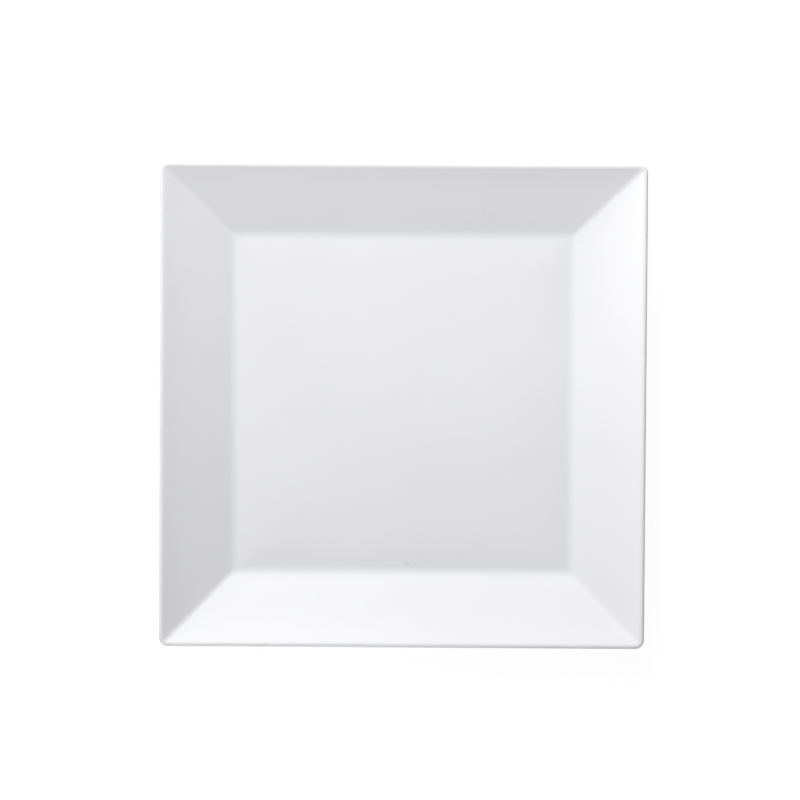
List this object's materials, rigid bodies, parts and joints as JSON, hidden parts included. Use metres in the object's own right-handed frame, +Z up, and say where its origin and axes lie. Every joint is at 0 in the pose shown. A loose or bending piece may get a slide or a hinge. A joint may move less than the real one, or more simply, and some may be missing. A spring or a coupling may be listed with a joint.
{
  "type": "square dessert plate",
  "caption": "Square white porcelain dessert plate with a flat well, wide sloping rim faces that meet in mitred folds, a rolled lip and a square foot band it stands on.",
  "frame": {"origin": "centre of the foot, on the plane of the table", "axes": "+Z up out of the well, +X and +Y square to the sides, +Y towards the top of the picture"},
  "size_m": [0.19, 0.19, 0.02],
  "materials": {
    "bare_porcelain": "unglazed, fine-grained and matt",
    "white_glaze": "smooth white gloss glaze"
  },
  "bodies": {
    "root": {"porcelain_body": "bare_porcelain", "outer_glaze_coat": "white_glaze", "recess_glaze_coat": "white_glaze"}
  },
  "joints": []
}
